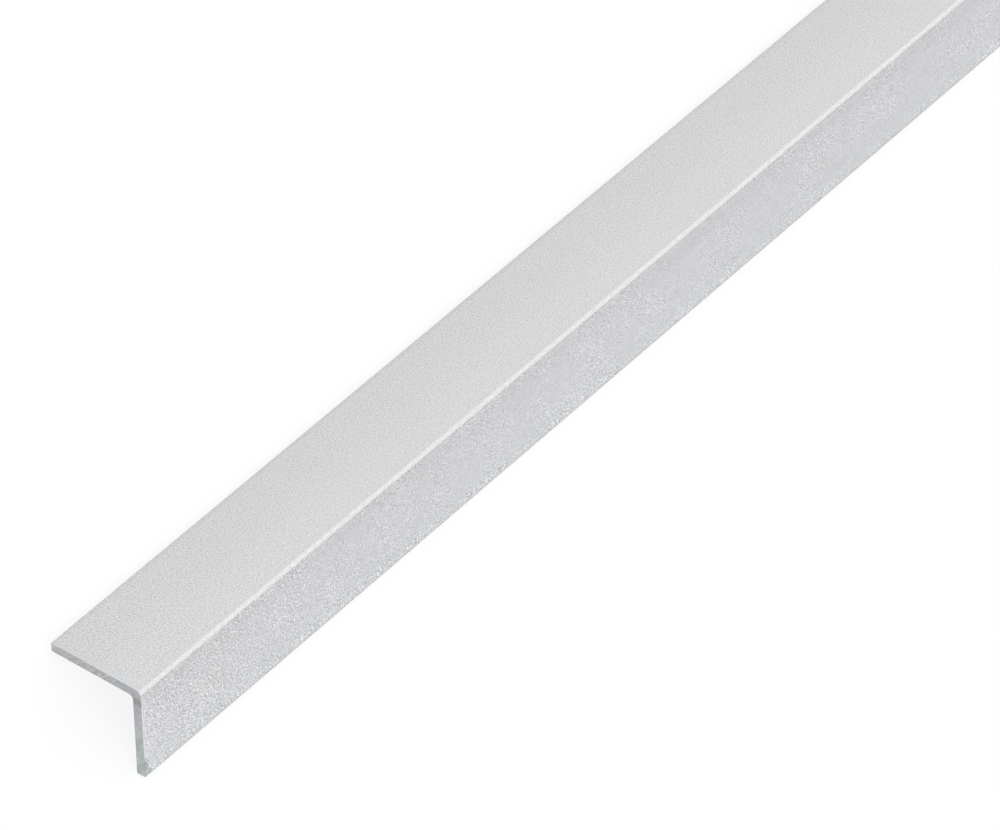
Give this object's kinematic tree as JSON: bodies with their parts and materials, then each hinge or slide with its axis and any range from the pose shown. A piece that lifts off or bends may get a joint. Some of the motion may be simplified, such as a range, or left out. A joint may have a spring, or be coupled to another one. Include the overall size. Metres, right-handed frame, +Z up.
{
  "type": "metal angle section",
  "caption": "Straight length of equal-leg zinc-coated steel angle: two flat legs at a right angle, a formed bend with a small radius, and square-cut ends.",
  "frame": {"origin": "middle of the footprint, on the floor that both toes rest on, half way along the length and under the ridge", "axes": "+X along the length, from the near cut end to the far one; +Y towards the toe of leg A; +Z up, through the ridge of the bend"},
  "size_m": [1, 0.028, 0.0149],
  "materials": {
    "zinc_coated_steel": "zinc-coated steel: pale silver-grey, fine matt grain with small bright specks"
  },
  "bodies": {
    "root": {"angle_section": "zinc_coated_steel"}
  },
  "joints": []
}
